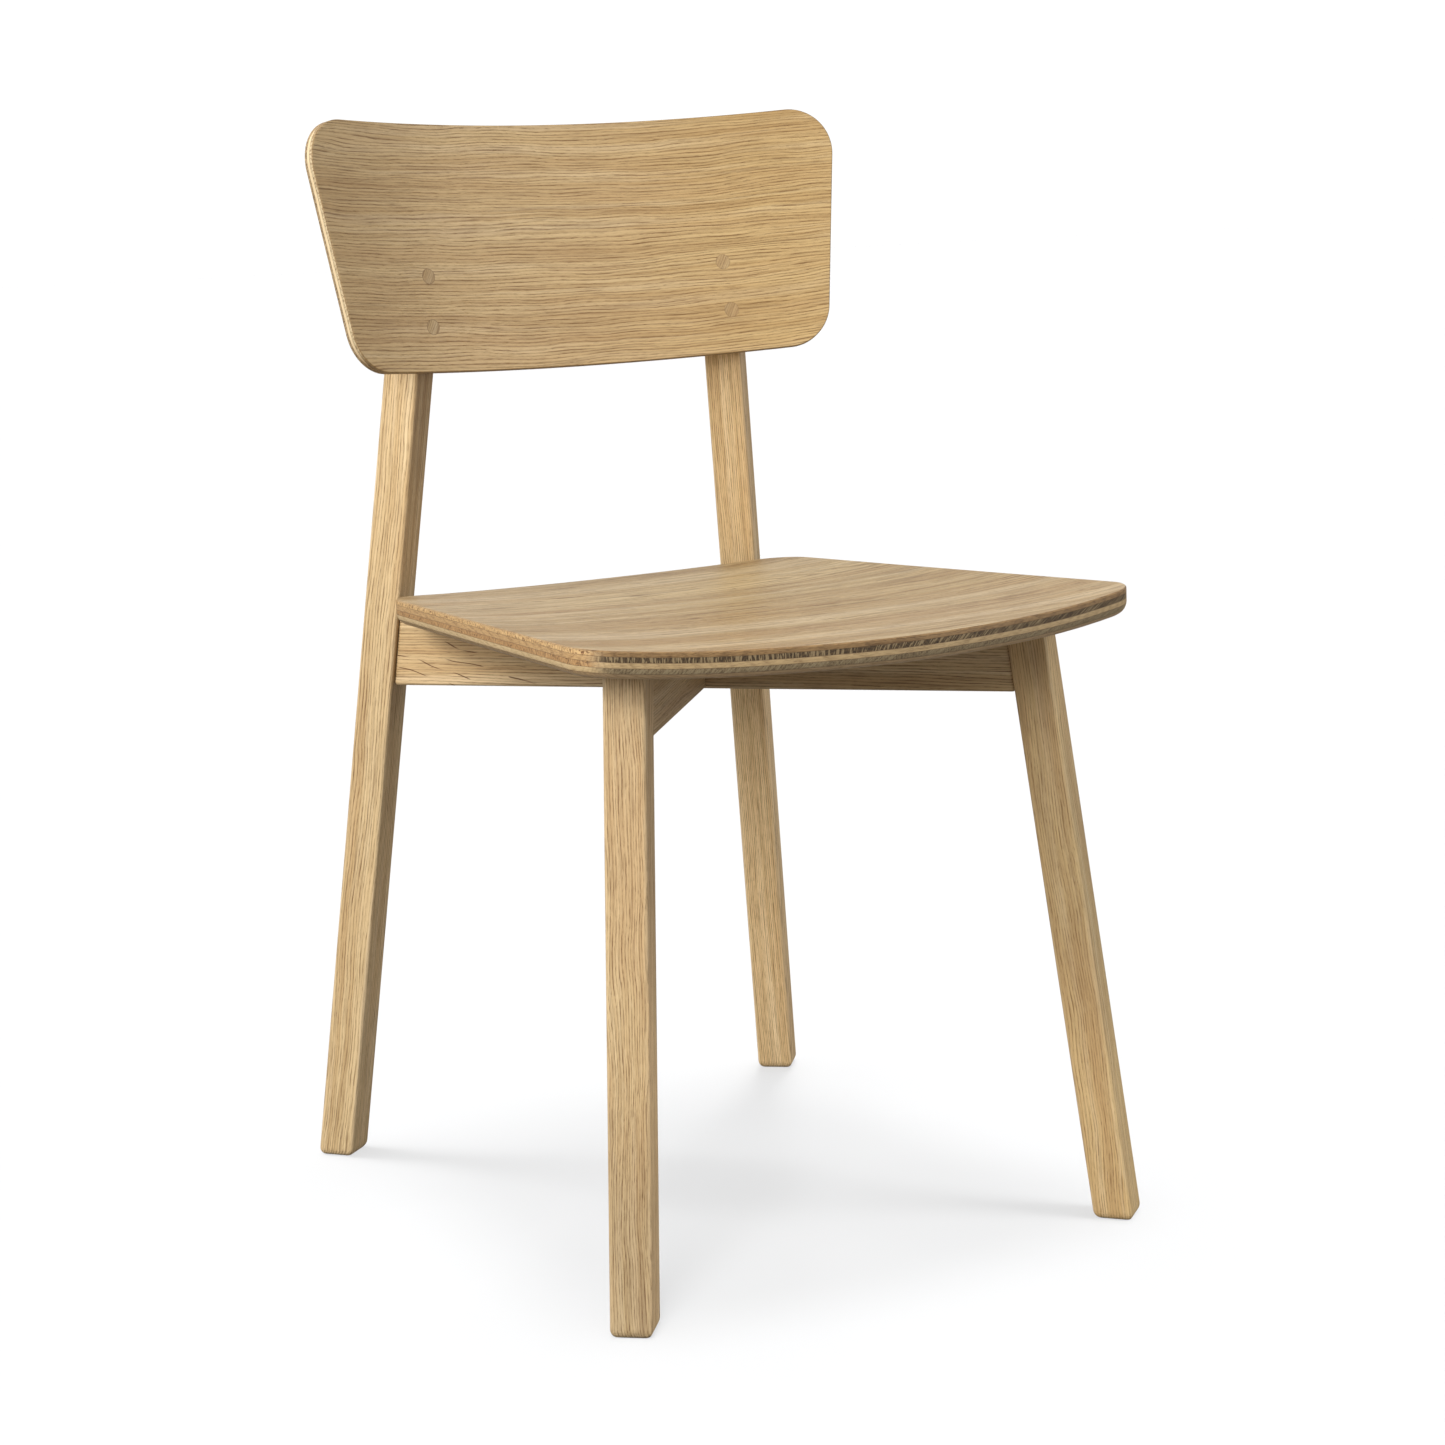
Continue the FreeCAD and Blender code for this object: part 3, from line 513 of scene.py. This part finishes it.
# the front and rear plies' side colours are their edges' own darker colour, deepened as painted shade so the rounded
# arrises read as dark lines
for name, i, coords, L, kw in (
    # front ply: the along ramp is painted shade on the left part, which faces away from the key lamp, and the deeper
    # tan on the right is painted sheen, leaving the middle paler
    ("back_ply_front", 0, back_u, BX, dict(turn=24.0, pith=(420.0, 0.0), ring=2.3, tilt=0.0, seed=61.0, tone=0.99, hue=0.7, warm=0.20, wave=12.0, sway=0.8, figure=0.9, fleck=0.03, pore=1.35, streak=0.75, long=2.0, fine=1.0, rough=0.36, extra=plug_seam, gain=1.15, along=((-190.0, -70.0, 0.86, 1.0),),
        painted_light_tint=(lambda n: n.ramp(back_coords(n)[0], 20.0, 170.0), (0.97, 0.95, 0.87)),
        side=(0.75, (160, 128, 84), (110, 84, 50)), end_tone=((220, 198, 158), (186, 156, 112), (132, 102, 66), (230, 210, 172)))),
    ("back_ply_core", 1, back_v, BV, dict(turn=30.0, pith=(200.0, 0.0), ring=2.4, tilt=0.0, seed=65.0, tone=1.08, wave=5.0, figure=0.4, pore=0.5, streak=0.5,
        side=(0.85, (228, 206, 168), (204, 178, 136)), end_tone=((178, 148, 106), (142, 112, 74), (100, 76, 48), (196, 168, 126)))),
    ("back_ply_rear", 2, back_u, BX, dict(turn=32.0, pith=(300.0, 0.0), ring=2.5, tilt=0.0, seed=69.0, tone=1.0, hue=-0.5, warm=0.30, wave=12.0, sway=0.9, figure=1.0, fleck=0.06, long=1.7, pore=1.1, gain=1.15,
        side=(0.75, (160, 130, 88), (118, 92, 58)), end_tone=((168, 144, 108), (130, 106, 74), (92, 72, 48), (182, 158, 120)))),
):
    dress(name, oak("oak_" + name, coords, L, plies=(i * BACK_PLY_T, (i + 1) * BACK_PLY_T, 1 if i == 0 else (0 if i == 2 else 2), "radial"), **kw))


def plug_coords(n):
    u, v, off = back_coords(n)
    return n.add(n.mul(u, 0.5), n.mul(v, 0.866)), n.sub(n.mul(v, 0.5), n.mul(u, 0.866)), off


# painted light and shade: the right-hand plugs are made lighter than the left-hand ones, which sit in the shaded left
# part of the panel
dress("back_plugs", oak("oak_plugs", plug_coords, BV, seed=73.0, turn=40.0, pith=(40.0, 6.0), ring=1.7, tilt=0.0, tone=0.90, hue=0.4, painted_light_tint=(lambda n: n.ramp(back_coords(n)[0], -60.0, 60.0), (1.09, 1.07, 1.03)),
                        wave=2.0, fleck=0.2, warm=0.6, pore=0.8, extra=plug_seam))


# ------------------------------------------------------------------ dowels and screws
def beech():
    n = Net("beech_dowel")
    p = point_mm(n)
    fine = n.noise(n.v("MULTIPLY", p, (1.6, 1.6, 1.6)), 3.0, 0.6)
    fleck = n.ramp(n.noise(n.v("MULTIPLY", p, (3.0, 3.0, 0.9)), 1.0), 0.60, 0.70)
    col = n.mix(fine, srgb(214, 176, 136), srgb(190, 148, 108))
    col = n.mix(n.mul(fleck, 0.5), col, srgb(150, 106, 70))
    b = n.new("ShaderNodeBsdfPrincipled")
    n.put(b.inputs["Base Color"], col)
    n.put(b.inputs["Roughness"], n.mad(fine, 0.2, 0.45))
    bp = n.new("ShaderNodeBump")
    bp.inputs["Strength"].default_value = 0.4
    bp.inputs["Distance"].default_value = 0.0002
    n.put(bp.inputs["Height"], fine)
    n.put(b.inputs["Normal"], bp.outputs[0])
    o = n.new("ShaderNodeOutputMaterial")
    n.put(o.inputs["Surface"], b.outputs[0])
    return n.mat


def steel():
    n = Net("zinc_plated_steel")
    p = point_mm(n)
    cloud = n.noise(n.v("MULTIPLY", p, (0.5, 0.5, 0.5)), 3.0, 0.6)
    turned = n.noise(n.v("MULTIPLY", p, (1.2, 1.2, 9.0)), 2.0, 0.6)
    b = n.new("ShaderNodeBsdfPrincipled")
    n.put(b.inputs["Base Color"], n.mix(cloud, srgb(196, 196, 190), srgb(160, 162, 164)))
    b.inputs["Metallic"].default_value = 1.0
    n.put(b.inputs["Roughness"], n.mad(turned, 0.25, 0.22))
    bp = n.new("ShaderNodeBump")
    bp.inputs["Strength"].default_value = 0.3
    bp.inputs["Distance"].default_value = 0.0001
    n.put(bp.inputs["Height"], turned)
    n.put(b.inputs["Normal"], bp.outputs[0])
    o = n.new("ShaderNodeOutputMaterial")
    n.put(o.inputs["Surface"], b.outputs[0])
    return n.mat


dress("rail_dowels", beech())
screw = steel()
dress("seat_screws", screw)
dress("back_screws", screw)

# ------------------------------------------------------------------ camera
AZ, PITCH, ROLL = math.radians(-29.7775), math.radians(9.8899), math.radians(-2.1018)
FOCAL = 3057.9
back = Vector((math.sin(AZ) * math.cos(PITCH), -math.cos(AZ) * math.cos(PITCH), math.sin(PITCH)))
right = Vector((math.cos(AZ), math.sin(AZ), 0.0))
up = right.cross(-back)
right2 = right * math.cos(ROLL) + up * math.sin(ROLL)
up2 = up * math.cos(ROLL) - right * math.sin(ROLL)
cam = bpy.data.objects.new("camera", bpy.data.cameras.new("camera"))
scene.collection.objects.link(cam)
m = Matrix((right2, up2, back)).transposed().to_4x4()
m.translation = Vector((-1.0927, -1.9332, 0.7429))
cam.matrix_world = m
cam.data.sensor_fit = "HORIZONTAL"
cam.data.sensor_width = 36.0
cam.data.lens = FOCAL / 1445.0 * 36.0
cam.data.clip_start, cam.data.clip_end = 0.05, 200.0
scene.camera = cam

# ------------------------------------------------------------------ floor
me = bpy.data.meshes.new("floor")
S = 30.0
me.from_pydata([(-S, -S, 0), (S, -S, 0), (S, S, 0), (-S, S, 0)], [], [(0, 1, 2, 3)])
floor = bpy.data.objects.new("floor", me)
scene.collection.objects.link(floor)
n = Net("studio_floor")
lp = n.new("ShaderNodeLightPath")
paper = n.new("ShaderNodeBsdfDiffuse")
paper.inputs["Color"].default_value = (0.16, 0.161, 0.163, 1)
glow = n.new("ShaderNodeEmission")
glow.inputs["Color"].default_value = (1, 1, 1, 1)
glow.inputs["Strength"].default_value = 0.338
seen = n.new("ShaderNodeAddShader")
n.put(seen.inputs[0], paper.outputs[0])
n.put(seen.inputs[1], glow.outputs[0])
bounce = n.new("ShaderNodeBsdfDiffuse")
bounce.inputs["Color"].default_value = (0.056, 0.0555, 0.055, 1)
mx = n.new("ShaderNodeMixShader")
n.put(mx.inputs[0], lp.outputs["Is Camera Ray"])
n.put(mx.inputs[1], bounce.outputs[0])
n.put(mx.inputs[2], seen.outputs[0])
o = n.new("ShaderNodeOutputMaterial")
n.put(o.inputs["Surface"], mx.outputs[0])
me.materials.append(n.mat)

# ------------------------------------------------------------------ light
world = bpy.data.worlds.new("studio")
scene.world = world
world.use_nodes = True
wt = world.node_tree
wt.nodes.clear()


def wn(kind, **props):
    q = wt.nodes.new(kind)
    for k, v in props.items():
        setattr(q, k, v)
    return q


# a white cove: brightest behind the chair and overhead, dimmer in front
tc = wn("ShaderNodeTexCoord")
sep = wn("ShaderNodeSeparateXYZ")
wt.links.new(tc.outputs["Generated"], sep.inputs[0])
behind = wn("ShaderNodeMapRange", interpolation_type="SMOOTHSTEP")
behind.inputs[1].default_value, behind.inputs[2].default_value = -0.2, 0.9
behind.inputs[3].default_value, behind.inputs[4].default_value = 0.526, 0.691
wt.links.new(sep.outputs["Y"], behind.inputs[0])
above = wn("ShaderNodeMapRange", interpolation_type="SMOOTHSTEP")
above.inputs[1].default_value, above.inputs[2].default_value = 0.0, 0.9
above.inputs[3].default_value, above.inputs[4].default_value = 0.0, 0.168
wt.links.new(sep.outputs["Z"], above.inputs[0])
total = wn("ShaderNodeMath", operation="ADD")
wt.links.new(behind.outputs[0], total.inputs[0])
wt.links.new(above.outputs[0], total.inputs[1])
lp = wn("ShaderNodeLightPath")
fill = wn("ShaderNodeBackground")
fill.inputs["Color"].default_value = (1.0, 0.995, 0.985, 1)
wt.links.new(total.outputs[0], fill.inputs["Strength"])
seen = wn("ShaderNodeBackground")
seen.inputs["Color"].default_value = (1, 1, 1, 1)
seen.inputs["Strength"].default_value = 1.05
mx = wn("ShaderNodeMixShader")
wo = wn("ShaderNodeOutputWorld")
wt.links.new(lp.outputs["Is Camera Ray"], mx.inputs[0])
wt.links.new(fill.outputs[0], mx.inputs[1])
wt.links.new(seen.outputs[0], mx.inputs[2])
wt.links.new(mx.outputs[0], wo.inputs["Surface"])

chair_set = bpy.data.collections.new("lit_chair")
for ob in nodes.values():
    chair_set.objects.link(ob)
floor_set = bpy.data.collections.new("lit_floor")
floor_set.objects.link(floor)


def lamp(name, az, el, watts, colour, lit):
    """A soft square light 3 m from the chair: az from the front toward the left, el above the floor."""
    d = bpy.data.lights.new(name, "AREA")
    d.shape = "SQUARE"
    d.size = 1.3
    d.energy = watts
    d.color = colour
    ob = bpy.data.objects.new(name, d)
    scene.collection.objects.link(ob)
    a, e = math.radians(az), math.radians(el)
    way = Vector((-math.sin(a) * math.cos(e), -math.cos(a) * math.cos(e), math.sin(e)))
    ob.location = Vector((0, 0, 0.5)) + way * 3.0
    ob.rotation_mode = "QUATERNION"
    ob.rotation_quaternion = way.to_track_quat("Z", "Y")
    ob.light_linking.receiver_collection = lit


lamp("key", 62, 20, 51.0, (1.0, 0.985, 0.955), chair_set)
lamp("side", 88, 36, 45.0, (1.0, 0.99, 0.965), chair_set)
lamp("fill", -45, 8, 17.5, (1.0, 0.995, 0.985), chair_set)

d = bpy.data.lights.new("floor_light", "SUN")
d.energy = 2.0
d.angle = math.radians(13.0)
sun = bpy.data.objects.new("floor_light", d)
scene.collection.objects.link(sun)
sun.rotation_mode = "QUATERNION"
sun.rotation_quaternion = Vector((0.0, -0.05, 3.0)).to_track_quat("Z", "Y")
sun.light_linking.receiver_collection = floor_set

# a faint rim light outside each foot draws that leg's shadow in toward the middle
for name, (fx, fy, *_rest) in FEET.items():
    d = bpy.data.lights.new("rim_" + name, "SUN")
    d.energy = 3.0
    d.angle = math.radians(19.0)
    ob = bpy.data.objects.new("rim_" + name, d)
    scene.collection.objects.link(ob)
    ob.rotation_mode = "QUATERNION"
    ob.rotation_quaternion = Vector((fx, fy, math.hypot(fx, fy) * math.tan(math.radians(50.0)))).to_track_quat("Z", "Y")
    only = bpy.data.collections.new("blocks_" + name)
    only.objects.link(nodes[name])
    ob.light_linking.receiver_collection = floor_set
    ob.light_linking.blocker_collection = only

scene.view_settings.view_transform = "Standard"
scene.view_settings.look = "None"
scene.view_settings.exposure = 0.0
scene.view_settings.gamma = 1.0
